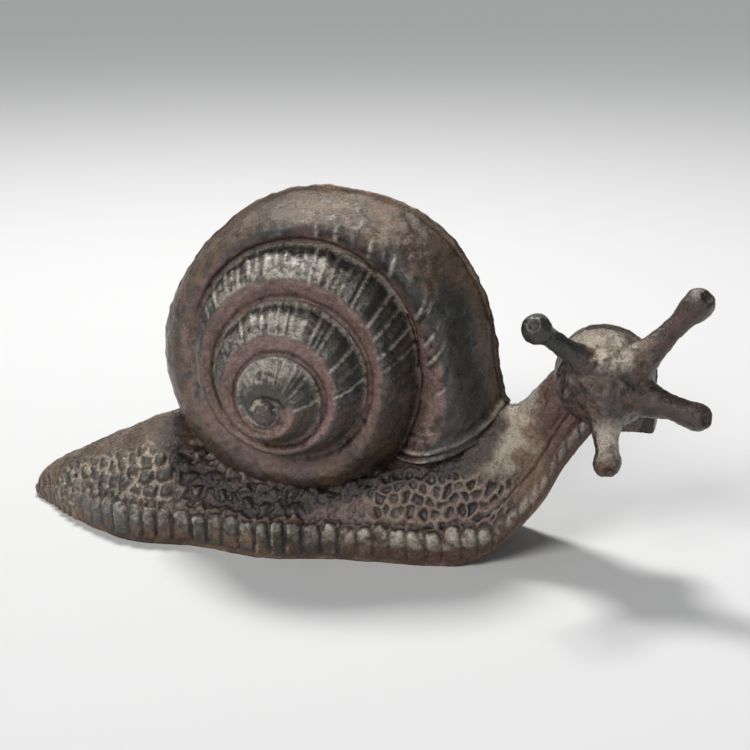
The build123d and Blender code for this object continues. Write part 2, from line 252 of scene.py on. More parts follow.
# Shell of the near casting: a tube that coils in from the lip to the apex, cast as one skin with
# its ribs, growth lines and the raised thread in every seam between two turns. Screws hold it.
MM = 0.001
BOX_MARGIN = 0.00002
SHELL_RADIUS = 0.0408
SHELL_X = 0.002
SHELL_Z = 0.0426
OUTLINE_SHARES = np.array((1.0, 1.02, 0.97, 0.94, 0.995, 0.97, 0.92, 0.96))
RIM_DEPTH = 0.0008
SEAM_GAP = 0.00012
LIP_FLARE = 0.0047
SUTURE_MIDDLE = (-0.0003, 0.0475)
APEX = (-0.0009, 0.0378)
SUTURE_DEPTH = 0.0065
SPIRE_DEPTH = 0.032
LIP_TURN = -0.14
APEX_TURN = 4.05
EASE_TURN = 0.62
LIP_SWELL = 0.0043
ROWS_PER_TURN = 424
TURN = 2 * np.pi
SEAM_RADIUS_SHARE = 0.676
RISER_END = 0.53
LIP_LEAN = 0.1
SPIRE_RIBS_FROM = 0.8
RIB_SPACING = (0.0072, 0.0048)
RIB_HALF_WIDTH = 0.00055
RIB_RISE = 0.00055
PILLOW_RISE = 0.0004
THREAD_RISE = 0.0006
CREASE_DEPTH = 0.0004
RIM_RISE = 0.0009
GROWTH_RISE = 0.0003


def ramp(value, low, high):
    """0 below low, 1 above high, eased between them."""
    share = np.clip((value - low) / (high - low), 0, 1)
    return share * share * (3 - 2 * share)


def fall(value, low, high):
    """1 below low, 0 above high, eased between them."""
    return ramp(-value, -high, -low)


def window(value, low, full, still_full, high):
    """1 between full and still_full, eased to 0 at low and high."""
    return ramp(value, low, full) * fall(value, still_full, high)


def bell(value, middle, width):
    """1 at the middle, fading to both sides."""
    return np.exp(-(((value - middle) / width) ** 2))


def toward(angle, middle):
    """1 at this angle of the coil, 0 at the opposite one."""
    return 0.5 + 0.5 * np.cos(angle - middle)


def suture_line(turn):
    """Seam between two turns: x, depth and z. It starts at turn 1."""
    n = turn - 1
    radius = np.maximum(SHELL_RADIUS * (SEAM_RADIUS_SHARE - n * (0.211 - 0.0034 * n)), 0.0018)
    drift = 1 - radius / (SEAM_RADIUS_SHARE * SHELL_RADIUS)
    share = np.clip((n + 0.19) / 2.89, 0, 1)
    x = SUTURE_MIDDLE[0] + (APEX[0] - SUTURE_MIDDLE[0]) * drift + radius * np.cos(TURN * turn)
    z = SUTURE_MIDDLE[1] + (APEX[1] - SUTURE_MIDDLE[1]) * drift + radius * np.sin(TURN * turn)
    return np.stack([x, SUTURE_DEPTH + (SPIRE_DEPTH - SUTURE_DEPTH) * share**0.68, z])


def shell_border(turn, proud):
    """Outer border of the tube: the shell's outline, which eases into the seam by turn 1."""
    eighth = (turn % 1) * 8
    first = np.floor(eighth).astype(int) % 8
    ease = (1 - np.cos(np.pi * (eighth % 1))) / 2
    share = OUTLINE_SHARES[first] * (1 - ease) + OUTLINE_SHARES[(first + 1) % 8] * ease
    radius = SHELL_RADIUS * share + proud + LIP_FLARE * fall(turn, -0.06, 0.015)
    rim = np.full_like(turn, RIM_DEPTH)
    outline = np.stack([SHELL_X + radius * np.cos(TURN * turn), rim, SHELL_Z + radius * np.sin(TURN * turn)])
    blend = (1 - np.cos(np.pi * np.clip((turn - EASE_TURN) / (1 - EASE_TURN), 0, 1))) / 2
    return outline * (1 - blend) + suture_line(turn) * blend


def tube_surface(turn, across, proud, relief):
    """Skin of the tube at a turn and a share of the way across it: x, depth and z."""
    outer = shell_border(turn, proud)
    inner = shell_border(turn + 1, proud)
    last_whorl = fall(turn, 0.6, 1.0)
    riser = np.sin(np.pi / 2 * np.clip(across / (RISER_END + 0.19 * last_whorl), 0, 1) ** 0.8)
    crown = (1 - last_whorl) * 0.07 * np.sin(np.pi * np.clip((across - 0.25) / 0.6, 0, 1)) ** 2
    hollow = (0.03 - 0.012 * last_whorl) * bell(across, 0.9, 0.07)
    fade = np.clip((0.45 - turn) / 0.64, 0, 1)
    swell = LIP_SWELL * fade * (2 - fade) * np.sin(np.pi * across)
    place = outer + (inner - outer) * across
    place[1] = relief * (outer[1] + (inner[1] - outer[1]) * (riser + crown - hollow) + swell)
    return place


def noise(points, size, seed):
    """Smooth noise from 0 to 1, with features of about this size, in two turned layers."""
    total = 0
    for layer, (turn_by, share, weight) in enumerate(((0.7, 1.0, 0.62), (2.1, 0.53, 0.38))):
        table = np.random.default_rng(seed + 500 * layer).random((32, 32, 32))
        c, s = np.cos(turn_by), np.sin(turn_by)
        tilt = np.array(((c, -s, 0), (s * c, c * c, -s), (s * s, s * c, c)))
        place = points @ tilt / (size * share)
        cell = np.floor(place).astype(int)
        part = place - cell
        part = part * part * (3 - 2 * part)
        for corner in np.ndindex(2, 2, 2):
            near = np.prod(np.where(np.array(corner), part, 1 - part), axis=-1)
            i, j, k = np.moveaxis((cell + np.array(corner)) % 32, -1, 0)
            total = total + weight * near * table[i, j, k]
    return np.clip(0.5 + 1.35 * (total - 0.5), 0, 1)


def stand_out(rise, rounds):
    """How far each point stands above the mean of its surroundings, in millimetres."""
    soft = rise
    for _ in range(rounds):
        wide = np.pad(soft, 1, mode="edge")
        soft = (wide[:-2, 1:-1] + wide[2:, 1:-1] + wide[1:-1, :-2] + wide[1:-1, 2:] + 2 * soft) / 6
    return (rise - soft) / MM


def surface_normals(grid):
    """Unit normals of a grid of points."""
    normals = np.cross(np.gradient(grid, axis=0), np.gradient(grid, axis=1))
    return normals / np.maximum(np.linalg.norm(normals, axis=-1, keepdims=True), 1e-12)


def inside_box(points):
    """The points, kept just inside the CAD box."""
    return np.clip(points, np.array(cad_box[0]) + BOX_MARGIN, np.array(cad_box[1]) - BOX_MARGIN)


def dress(piece, marks, material):
    """Stain marks, one attribute each, the iron, and the one body that the piece rides on."""
    mesh = piece.data
    for mark, values in marks.items():
        layer = mesh.attributes.new(mark, "FLOAT", "POINT")
        layer.data.foreach_set("value", np.clip(values, 0, 1).astype(np.float32))
    mesh.materials.clear()
    mesh.materials.append(material)
    mesh.shade_smooth()
    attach(piece, "root")


def make_casting(name, points, faces, marks, material):
    """Piece made of these points and faces, dressed."""
    mesh = bpy.data.meshes.new(name)
    mesh.from_pydata(inside_box(points).tolist(), [], faces)
    shape = bmesh.new()
    shape.from_mesh(mesh)
    bmesh.ops.recalc_face_normals(shape, faces=shape.faces)
    shape.to_mesh(mesh)
    shape.free()
    piece = bpy.data.objects.new(name, mesh)
    bpy.context.scene.collection.objects.link(piece)
    dress(piece, marks, material)
    return piece


def shell_skin(name, side, proud, relief, last_turn, columns, seed, material):
    """One casting's side of the coil, with its lip, rim and flat face. Its inner end is open."""
    rows = int(round((last_turn - LIP_TURN) * ROWS_PER_TURN)) + 1
    turn = LIP_TURN + np.arange(rows)[:, None] / ROWS_PER_TURN + np.zeros((1, columns + 1))
    across = np.linspace(0, 1, columns + 1)[None, :] + np.zeros((rows, 1))
    turn = turn + LIP_LEAN * (1 - across) ** 1.3 * fall(turn, LIP_TURN, 0.3)
    grid = np.moveaxis(tube_surface(turn, across, proud, relief), 0, -1)
    grid[..., 1] *= -1
    normals = surface_normals(grid)
    normals *= np.sign(np.median(-normals[..., 1]))

    steps = np.linalg.norm(np.diff(grid, axis=1), axis=-1)
    from_outer = np.concatenate([np.zeros((rows, 1)), np.cumsum(steps, axis=1)], axis=1)
    from_inner = from_outer[:, -1:] - from_outer
    border_steps = np.linalg.norm(np.diff(grid[:, 0], axis=0), axis=-1)
    along = np.concatenate([[0], np.cumsum(border_steps)])[:, None]
    angle = TURN * turn

    ribbed_side = ramp(toward(angle, 1.35), 0.4, 0.62)
    right = ramp(np.cos(angle - 0.5), 0.2, 0.9)
    # upper-left side of the coil, where the seam thread is painted brighter as a painted highlight
    lit_upper_left = ramp(toward(angle, 2.1), 0.08, 0.5)
    rough = noise(grid, 0.0045, seed)
    mid = noise(grid, 0.002, seed + 6)
    fine = noise(grid, 0.0009, seed + 1)
    on_spire = ramp(turn, 0.82, 1.0)
    on_last = 1 - on_spire

    on_outside = turn < SPIRE_RIBS_FROM
    spacing = np.where(on_outside, *RIB_SPACING)
    count = along / spacing + 0.22 * from_outer / spacing
    whole = np.floor(count).astype(int)
    chance = np.random.default_rng(seed + 2).random((4000, 2))
    luck = chance[whole % 4000]
    centre = whole + 0.2 + 0.6 * luck[..., 0]
    rib_shape = bell((count - centre) * spacing, 0, RIB_HALF_WIDTH)
    rib_power = np.where(on_outside, 0.65, 0.15) + np.where(on_outside, 0.35, 0.85) * luck[..., 1]
    rib_end = 0.42 + 0.16 * right + 0.12 * (luck[..., 1] - 0.5)
    spire_rib = ramp(from_outer, 0.0002, 0.0012) * ramp(rib_end - across, -0.06, 0.1)
    last_rib = window(across, 0.42, 0.55, 0.76, 0.88) * right
    rib_reach = (spire_rib * on_spire + 1.4 * last_rib * on_last) * ribbed_side
    ribs = rib_shape * rib_power * rib_reach
    pillows = np.cos(np.pi * np.clip((count - centre) * 1.1, -1, 1)) * rib_reach

    thread = bell(from_outer, 0.0005, 0.0007) * on_spire
    crease = bell(from_inner, 0.0009, 0.0007)
    from_lip = (turn - LIP_TURN - LIP_LEAN * (1 - across) ** 1.3) * TURN * SHELL_RADIUS
    at_lip = (turn < 0.7).astype(float)
    rims = (bell(from_lip, 0.0006, 0.0006) + bell(from_lip, 0.0036, 0.0009)) * at_lip
    growth = bell(from_lip, 0.0078, 0.0004) + bell(from_lip, 0.0102, 0.0004)
    growth += 0.6 * bell(from_lip, 0.0135, 0.0004)
    growth *= ramp(across, 0.5, 0.75) * at_lip
    lip_groove = bell(from_lip, 0.0019, 0.0006) * at_lip
    lines = noise(np.stack([count * 0.9, across * 2.5, 0 * count], axis=-1), 0.45, seed + 3)

    rise = RIB_RISE * ribs - PILLOW_RISE * pillows + THREAD_RISE * thread - CREASE_DEPTH * crease
    rise += RIM_RISE * rims + GROWTH_RISE * growth - GROWTH_RISE * lip_groove
    uneven = (0.0006 - 0.0003 * on_last) * (rough - 0.5) + (0.0003 + 0.00025 * on_last) * (mid - 0.5)
    uneven += 0.00018 * (fine - 0.5)
    rise += uneven + 0.00012 * (lines - 0.5)
    proud_by = stand_out(rise, 10)
    hollow_by = fall(proud_by, -0.2, -0.03)
    proud_by = ramp(proud_by, 0.05, 0.25)
    grid = grid + normals * rise[..., None]

    riser = ramp(from_outer, 0.0006, 0.0014)
    riser *= ramp(RISER_END + 0.06 * (mid - 0.5) - across, -0.04, 0.06)
    riser *= on_spire
    blotch = window(across, 0.5, 0.66, 0.82, 0.97)
    blotch *= ramp(toward(angle, 1.5), 0.5, 0.8)
    # right-facing side of the last whorl near the lip: green black patina, also darkened as painted shade
    shaded_side_panel = ramp(across, 0.1, 0.22) * fall(turn, 0.05, 0.11)
    shaded_side_panel *= ramp(0.55 + 0.15 * ramp(turn, -0.02, 0.12) - across, -0.03, 0.04)
    upper_panel = window(across, 0.3, 0.5, 0.68, 0.74)
    upper_panel *= fall(turn, 0.14, 0.26)
    upper_panel *= ramp(rough, 0.45, 0.6)
    tread = ramp(across, 0.5, 0.6) * on_spire + ramp(across, 0.64, 0.74) * on_last
    tread = np.maximum(tread, ramp(across, 0.5, 0.58) * fall(turn, 0.0, 0.1) * on_last)
    veins = ramp(0.3 - lines, 0, 0.12) * (1 - 0.7 * ribbed_side)
    apex = ramp(turn, 2.98, 3.03)
    pale_line = ramp(fine, 0.15, 0.5)
    # painted highlight: pale on the upper parts of the spire's risers, where light from above falls
    painted_riser_highlight = ramp(np.cos(angle - 1.75), 0.45, 0.95) * riser * ramp(across, 0.06, 0.2)
    painted_riser_highlight *= ramp(0.62 * fine + 0.38 * mid, 0.3, 0.62)
    apex_glint = 0.8 * apex * ramp(from_outer + 0.0015 * rough - 0.0024, -0.0006, 0.0)
    apex_glint *= ramp(0.0062 - from_outer - 0.004 * rough, 0, 0.001)
    apex_glint *= ramp(np.sin(angle), 0.5, 0.9)
    marks = {
        "dust_and_highlight": 1.5 * thread * (0.3 + 0.7 * lit_upper_left) * pale_line * (1 - 0.5 * apex)
        + 1.3 * ribs * pale_line * (1 - 0.6 * apex) + rims * pale_line
        + 0.5 * growth * fine + 0.25 * proud_by * fine + 0.7 * painted_riser_highlight + apex_glint,
        "panel": np.maximum(riser * (0.35 + 0.65 * ribbed_side) * (1 - 0.35 * painted_riser_highlight), 0.85 * apex)
        + (0.65 * blotch * ramp(rough, 0.35, 0.6) + shaded_side_panel + 0.4 * upper_panel) * on_last
        + 0.7 * veins
        + (0.4 + 0.35 * on_last) * (1 - tread) * ramp(0.6 * mid + 0.4 * rough, 0.5, 0.6)
        * (1 - 0.35 * on_last),
        "bloom": tread * (0.5 + 0.5 * ramp(toward(angle, 0.6), 0.1, 0.6)) * (1 - apex),
        # painted shade in the seam creases, the lip groove, hollows, beside the ribs and on the shaded side
        # panel, with dark streaks from the veins
        "painted_shade_and_stain": 0.35 * crease * (0.3 + 0.7 * ribbed_side) + 0.7 * lip_groove
        + 0.6 * veins * ramp(mid, 0.5, 0.7) + 0.6 * hollow_by
        + 0.35 * ramp(pillows, 0.2, 0.8) * (1 - ribs) + 0.75 * shaded_side_panel * on_last
        # painted shade: the last whorl darker toward its underside
        + 0.25 * ramp(-np.sin(angle), 0.3, 0.9) * on_last,
        "rust": 0.5 * fall(rough, 0.2, 0.4) * (1 - tread) + 0.4 * tread * fall(mid, 0.2, 0.4),
    }

    # each turn's inner border is the next turn's outer one, so both use the same points
    number = np.arange(rows)[:, None] * (columns + 1) + np.arange(columns + 1)[None, :]
    number[: rows - ROWS_PER_TURN, columns] = number[ROWS_PER_TURN:, 0]
    quads = np.stack([number[:-1, :-1], number[:-1, 1:], number[1:, 1:], number[1:, :-1]], axis=-1)
    points = grid.reshape(-1, 3)
    ring = np.concatenate([number[:1, 1:][0][::-1][1:], number[: ROWS_PER_TURN + 1, 0]])
    base = points[ring].copy()
    base[:, 1] = -SEAM_GAP
    ring_angle = np.arctan2(base[:, 2] - SHELL_Z, base[:, 0] - SHELL_X)
    undercut = 0.0003 + 0.0011 * ramp(np.cos(ring_angle + 0.1), 0.4, 0.8)
    undercut += 0.0006 * bell(ring_angle, 2.25, 0.3)
    undercut[:columns] = 0
    inward = np.stack([np.cos(ring_angle), 0 * ring_angle, np.sin(ring_angle)], axis=1)
    base -= inward * undercut[:, None]
    middle = np.array([[SHELL_X, -SEAM_GAP, SHELL_Z]])
    first = len(points)
    hub = first + len(base)
    points = np.concatenate([points, base, middle])
    low = first + np.arange(len(base))
    faces = quads.reshape(-1, 4).tolist()
    next_ring, next_low = np.roll(ring, -1), np.roll(low, -1)
    faces += np.stack([ring, next_ring, next_low, low], axis=-1).tolist()
    faces += [[a, b, hub] for a, b in zip(low.tolist(), next_low.tolist())]
    used = np.unique(np.concatenate(faces))
    marks = {key: np.concatenate([values.ravel(), np.zeros(len(base) + 1)]) for key, values in marks.items()}
    remap = -np.ones(len(points), int)
    remap[used] = np.arange(len(used))
    faces = [remap[face].tolist() for face in faces]
    points = points[used]
    marks = {key: values[used] for key, values in marks.items()}
    points[:, 1] *= -side
    return make_casting(name, points, faces, marks, material)


near_shell = shell_skin("near_shell", -1, 0, 1, APEX_TURN, 54, 11, near_iron)
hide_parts("near_half")

# Foot, tail and neck of the near casting: one skin run along the snail, with a frilled edge of
# square blocks round the sole, pebbled flanks above it and a smooth back, all cast in sand. It is
# one iron with the shell above it and with the head.
STATIONS = np.array((
    # sole x and z, top x and z, half width, in mm
    (-77.2, 0.0, -77.2, 3.2, 2.1),
    (-74.9, 0.0, -74.9, 5.9, 6.4),
    (-67.9, 0.0, -67.9, 10.3, 11.4),
    (-59.4, 0.0, -59.4, 14.7, 17.3),
    (-47.9, 0.0, -47.9, 20.3, 23.4),
    (-37.1, 0.0, -37.1, 24.5, 26.6),
    (-22.0, 0.0, -22.0, 22.1, 24.7),
    (-5.0, 0.0, -5.0, 21.6, 26.1),
    (10.0, 0.0, 10.0, 22.1, 21.8),
    (25.1, 0.0, 23.9, 24.0, 19.8),
    (37.1, 0.0, 35.1, 28.9, 17.6),
    (46.3, 3.7, 43.2, 34.5, 14.8),
    (52.9, 10.5, 48.6, 35.0, 12.8),
    (57.5, 16.9, 52.9, 39.7, 11.8),
    (60.6, 23.3, 56.7, 44.6, 11.0),
    (64.1, 28.7, 60.2, 49.0, 9.8),
    (68.7, 35.0, 66.0, 49.0, 6.0),
)) * MM
UNDER_SHELL = np.array((
    # where the shell sits on the foot: x and z, in mm
    (-36, 23), (-32.5, 20), (-27.5, 16), (-15, 12), (-1.5, 13), (8.5, 14.2),
    (19.5, 17.5), (33, 21), (39.5, 23.5), (43.6, 27), (45, 31),
)) * MM
FOOT_STEP = 0.00036
FOOT_COLUMNS = 118
BAND_HEIGHT = 0.0086
BAND_LEDGE = 0.0022
FRILL_ENDS = (-0.0749, 0.0606)
FRILL_BLOCKS = 38
TAIL_CELL = 0.0039
NECK_CELL = 0.0029
PIT_CELL = 0.0037


def blend(t, start, end, first, last):
    """First at the start, last at the end, and straight between them."""
    return (end - t) / (end - start) * first + (t - start) / (end - start) * last


def smooth_path(points, dense=24):
    """Centripetal Catmull-Rom curve through the points."""
    points = np.concatenate([[2 * points[0] - points[1]], points, [2 * points[-1] - points[-2]]])
    gaps = np.sqrt(np.maximum(np.linalg.norm(np.diff(points, axis=0), axis=1), 1e-9))
    knots = np.concatenate([[0], np.cumsum(gaps)])
    curve = []
    for i in range(1, len(points) - 2):
        t0, t1, t2, t3 = knots[i - 1:i + 3]
        t = np.linspace(t1, t2, dense, endpoint=False)[:, None]
        p0, p1, p2, p3 = points[i - 1:i + 3]
        a1, a2, a3 = blend(t, t0, t1, p0, p1), blend(t, t1, t2, p1, p2), blend(t, t2, t3, p2, p3)
        curve.append(blend(t, t1, t2, blend(t, t0, t2, a1, a2), blend(t, t1, t3, a2, a3)))
    return np.concatenate(curve + [points[-2:-1]])


def spaced(curve, count):
    """The curve again, at this many points a like distance apart."""
    length = np.concatenate([[0], np.cumsum(np.linalg.norm(np.diff(curve, axis=0), axis=1))])
    wanted = np.linspace(0, length[-1], count)
    return np.stack([np.interp(wanted, length, curve[:, k]) for k in range(curve.shape[1])], axis=1)


def pebbles(u, v, seed):
    """Cell pattern in cells' own units: distance to the nearest edge, and a number for each cell."""
    table = np.random.default_rng(seed).random((64, 64, 3))
    near = np.full(u.shape, 9.0)
    second = np.full(u.shape, 9.0)
    number = np.zeros(u.shape)
    column = np.floor(u).astype(int)
    row = np.floor(v).astype(int)
    for i in (-1, 0, 1):
        for j in (-1, 0, 1):
            chance = table[(column + i) % 64, (row + j) % 64]
            shift = 0.5 * ((row + j) % 2)
            du = column + i + shift + 0.22 + 0.36 * chance[..., 0] - u
            dv = row + j + 0.22 + 0.56 * chance[..., 1] - v
            gap = np.sqrt(du * du + dv * dv)
            closer = gap < near
            second = np.where(closer, near, np.minimum(second, gap))
            number = np.where(closer, chance[..., 2], number)
            near = np.where(closer, gap, near)
    return (second - near) / 2, number


def foot_rings(step):
    """Sections along the foot: sole point, half width, height, way up, edge height and ledge."""
    dense = smooth_path(STATIONS)
    reach = np.linalg.norm(np.diff(dense[:, [0, 1, 4]], axis=0), axis=1).sum()
    rings = spaced(dense[:, [0, 1, 4, 2, 3]], int(reach / step))
    sole, wide, top = rings[:, :2], rings[:, 2], rings[:, 3:]
    high = np.linalg.norm(top - sole, axis=1)
    up = (top - sole) / high[:, None]
    band = np.minimum(BAND_HEIGHT, 0.42 * high)
    return sole, wide, high, up, band, BAND_LEDGE * band / BAND_HEIGHT


def half_outline(w, b, h, ledge, columns):
    """Half of one section, from the sole's edge up to the crown: across and up."""
    corners = np.array((
        (w - 0.5 * ledge, 0), (w - 0.4 * ledge, 0.5 * b), (w - 0.6 * ledge, b), (w - 1.5 * ledge, 1.15 * b),
        (0.66 * w, b + 0.55 * (h - b)), (0.36 * w, b + 0.87 * (h - b)), (0, h),
    ))
    outline = smooth_path(np.concatenate([corners, [[-0.36 * w, b + 0.87 * (h - b)]]]), 16)
    outline = spaced(outline[outline[:, 0] >= -1e-9], columns)
    outline[-1, 0] = 0
    return outline


def foot_skin(name, side, seed, material):
    """One casting's half of the foot, tail and neck."""
    sole, wide, high, up, band, ledge = foot_rings(FOOT_STEP)
    count = len(sole)
    section = np.stack([half_outline(*sizes, FOOT_COLUMNS) for sizes in zip(wide, band, high, ledge)])
    across = section[..., 0]
    rise_here = section[..., 1]
    grid = np.stack([
        sole[:, None, 0] + up[:, None, 0] * rise_here,
        side * across,
        sole[:, None, 1] + up[:, None, 1] * rise_here,
    ], axis=-1)
    normals = surface_normals(grid)
    normals = normals * np.sign((normals[..., 1] * side).sum())

    run = np.concatenate([[0], np.cumsum(np.linalg.norm(np.diff(grid[:, 0], axis=0), axis=1))])[:, None]
    steps = np.linalg.norm(np.diff(grid, axis=1), axis=-1)
    climb = np.concatenate([np.zeros((count, 1)), np.cumsum(steps, axis=1)], axis=1)
    band_climb = climb[np.arange(count), np.argmax(rise_here >= 1.02 * band[:, None], axis=1)][:, None]
    share = climb / climb[:, -1:]
    x = grid[..., 0]
    rough = noise(grid, 0.0042, seed)
    mid = noise(grid, 0.0019, seed + 1)
    fine = noise(grid, 0.0008, seed + 2)
    front = ramp(x, 0.0, 0.02)

    # frill: blocks cut apart by narrow grooves, which fade out at the tail and narrow up the neck
    first, last = (np.interp(end, sole[:, 0], run[:, 0]) for end in FRILL_ENDS)
    wander = 0.3 * (noise(np.stack([run, 0 * run, 0 * run], axis=-1), 0.006, seed + 3) - 0.5)
    pitch = FRILL_BLOCKS * (run - first) / (last - first) + wander + 0.1 * (mid - 0.5) + 100
    block = np.floor(pitch).astype(int)
    luck = np.random.default_rng(seed + 4).random((400, 3))[block % 400]
    in_block = pitch - block
    frilled = ramp(x, -0.062, -0.047)
    on_neck = ramp(x, 0.038, 0.055)
    edge = band_climb * (1 - 0.42 * ramp(x, 0.036, 0.052))
    top_line = edge * (
        1.0 - 0.2 * np.abs(2 * in_block - 1) ** 3 + 0.16 * (luck[..., 1] - 0.5) + 0.12 * (mid - 0.5)
    )
    in_band = ramp(top_line - climb, -0.0002, 0.0006) * frilled
    above_sole = ramp(climb, 0.0006, 0.002)
    groove_power = (1 - 0.45 * front) * (1 - 0.6 * on_neck) * (0.5 + 0.5 * luck[..., 2])
    groove_power *= 0.55 + 0.45 * ramp(mid, 0.3, 0.6)
    groove = (bell(in_block, 0, 0.075) + bell(in_block, 1, 0.075)) * groove_power
    side_ridge = bell(in_block, 0.22, 0.09) * (1 - front) * ramp(luck[..., 0], 0.3, 0.8)
    belly = 1 - np.abs(2 * in_block - 1) ** 3
    band_top = ramp(climb, 0.42 * edge, 0.62 * edge)
    knuckle = bell(climb, 0.76 * edge, 0.2 * edge) * belly
    frill = (0.0004 * belly - 0.0008 * groove + 0.00022 * side_ridge) * in_band * above_sole
    frill += 0.0008 * knuckle * in_band * (0.5 + 0.5 * luck[..., 0]) * (1 - 0.6 * on_neck)
    ditch = 0.8 * bell(climb, 1.06 * top_line, 0.0006) * frilled * ramp(rough, 0.15, 0.5)
    ditch *= 1 - 0.85 * on_neck
    frill -= 0.0006 * ditch

    # flanks: domed pebbles on the tail, deep pits under the shell, then soft lumps, then a comb
    jog, sway = mid - 0.5, rough - 0.5
    tail_gap, tail_number = pebbles(run / TAIL_CELL + 0.35 * jog, climb / TAIL_CELL + 0.35 * sway, seed + 5)
    mid_gap, mid_number = pebbles(run / 0.0036 + 0.7 * jog, climb / 0.0038 + 0.5 * sway, seed + 7)
    neck_gap, neck_number = pebbles(run / NECK_CELL + 0.7 * jog, climb / NECK_CELL + 0.7 * sway, seed + 6)
    above = ramp(climb, 1.1 * top_line, 1.22 * top_line) * frilled
    above += (1 - frilled) * ramp(climb, 0.002, 0.004)
    worn_back = ramp(0.66 + 0.12 * (rough - 0.5) - share, -0.03, 0.1)
    on_tail = window(x, -0.071, -0.06, -0.032, -0.026) * above * worn_back
    on_pits = window(x, -0.032, -0.026, -0.002, 0.006) * above
    on_lumps = window(x, -0.006, 0.002, 0.013, 0.02) * above
    on_comb = window(x, 0.013, 0.019, 0.046, 0.054) * above
    on_comb *= ramp(edge * 2.6 - climb, -0.002, 0.003)
    tail_dome = ramp(tail_gap * TAIL_CELL, 0.00012, 0.0012)
    tail_net = bell(tail_gap * TAIL_CELL, 0, 0.0003)
    pit_dome = ramp(mid_gap * PIT_CELL, 0.0002, 0.0012)
    pit_net = 1 - ramp(mid_gap * PIT_CELL, 0.0001, 0.0006)
    comb_hollow = ramp(neck_gap * NECK_CELL, 0.0003, 0.0009)
    comb_net = bell(neck_gap * NECK_CELL, 0, 0.0005)
    crack = ramp(0.00032 - tail_gap * TAIL_CELL, 0, 0.0002) * ramp(mid, 0.55, 0.65)
    bumps = (0.0011 * tail_dome * (0.6 + 0.4 * tail_number) - 0.0005 * crack) * on_tail
    bumps += (0.0012 * pit_dome * (0.4 + 0.6 * mid_number) - 0.0005) * on_pits
    bumps += 0.0018 * (mid - 0.5) * on_lumps
    bumps -= (0.0007 * comb_hollow * (0.4 + 0.6 * neck_number) - 0.00025 * comb_net) * on_comb
    bumps += 0.0006 * (rough - 0.5) + 0.0004 * (mid - 0.5) + 0.0002 * (fine - 0.5)
    wrinkles = np.sin(TURN * (run / 0.0026 + climb / 0.005 + 1.2 * rough)) * fall(x, -0.06, -0.05)
    wrinkles *= ramp(0.62 - share, 0, 0.1)
    bumps += 0.00018 * wrinkles

    shape = frill + bumps
    proud_by = stand_out(shape, 8)
    hollow_by = fall(proud_by, -0.3, -0.05)
    proud_by = ramp(proud_by, 0.08, 0.35)
    from_shell = np.full(x.shape, 1.0)
    for spot_x, spot_z in spaced(UNDER_SHELL, 60):
        from_shell = np.minimum(from_shell, np.hypot(x - spot_x, grid[..., 2] - spot_z))
    crevice = ramp(0.0036 - from_shell, 0, 0.0028)
    seam = bell(across, 0, 0.00035)
    shape = shape * (1 - 0.7 * seam) - 0.0003 * seam
    shape = shape * ramp(x, cad_box[0][0], cad_box[0][0] + 0.003)
    grid = grid + normals * shape[..., None]
    reach = abs(cad_box[0 if side < 0 else 1][1])
    grid[..., 1] = side * np.clip(side * grid[..., 1], SEAM_GAP, reach)
    grid[..., 2] = np.maximum(grid[..., 2], BOX_MARGIN)

    saddle = window(x, 0.04, 0.047, 0.054, 0.061)
    saddle *= ramp(climb, 1.9 * edge, 2.6 * edge)
    brown_fold = ramp(x + 0.25 * (grid[..., 2] - 0.03), 0.0545, 0.0575)
    blocks = in_band * above_sole
    rough_pale = ramp(0.6 * mid + 0.4 * rough + 0.1 * front, 0.38, 0.62)
    marks = {
        # pale on the upper band of the frill: partly dust, partly a painted highlight on its shoulder
        "dust_and_highlight": blocks * band_top * (1 - 0.8 * groove) * (0.15 + 0.75 * front) * rough_pale
        * (1 - 0.45 * on_neck) + 0.6 * side_ridge * blocks * rough_pale
        + 0.4 * knuckle * in_band * (1 - front) * ramp(fine, 0.4, 0.7)
        + 0.9 * tail_net * on_tail * (1 - crack)
        + 0.28 * comb_net * on_comb * ramp(mid, 0.25, 0.55)
        + 0.5 * proud_by * fine * (1 - on_tail) * (1 - 0.7 * on_comb)
        + 0.25 * on_lumps * ramp(fine, 0.5, 0.7) + 0.3 * pit_dome * on_pits * mid_number * fine
        + 0.7 * saddle * (1 - brown_fold) * ramp(rough, 0.25, 0.6)
        + 0.25 * ramp(wrinkles, 0.2, 0.9),
        "panel": 1.0 * tail_dome * on_tail * ramp(tail_number, 0.0, 0.25) + 0.6 * comb_hollow * on_comb
        + 0.6 * pit_dome * on_pits * ramp(mid_number, 0.4, 0.7)
        + blocks * (1 - 0.75 * front) * (1 - side_ridge) * ramp(rough + 0.3 * band_top, 0.35, 0.6) * 0.9,
        "bloom": (0.9 * on_lumps + 0.75 * on_pits + 0.4 * on_comb
        + 0.3 * (1 - worn_back) * ramp(rough, 0.5, 0.7)) * (1 - saddle),
        # painted shade in the frill grooves, cell nets, hollows, the fold behind the head and the crevice
        # under the shell, and a painted shadow of the spire over the mid flank; the seam line is a dark
        # joint
        "painted_shade_and_stain": 0.9 * groove * blocks * (1 - 0.35 * front) + crack * on_tail
        + 0.75 * pit_net * on_pits + 0.9 * comb_hollow * on_comb * ramp(neck_number, 0.1, 0.45)
        + 0.55 * ditch + seam * ramp(mid, 0.45, 0.55) + 0.6 * hollow_by * (1 - on_tail)
        + 0.9 * crevice + 0.3 * on_lumps + 0.25 * on_pits + 0.4 * brown_fold * ramp(mid, 0.5, 0.7),
        "rust": (1 - band_top) * blocks * (0.35 + 0.5 * front) + 0.95 * brown_fold + 0.65 * on_pits
        + 0.45 * on_lumps + 0.4 * on_comb * rough,
    }

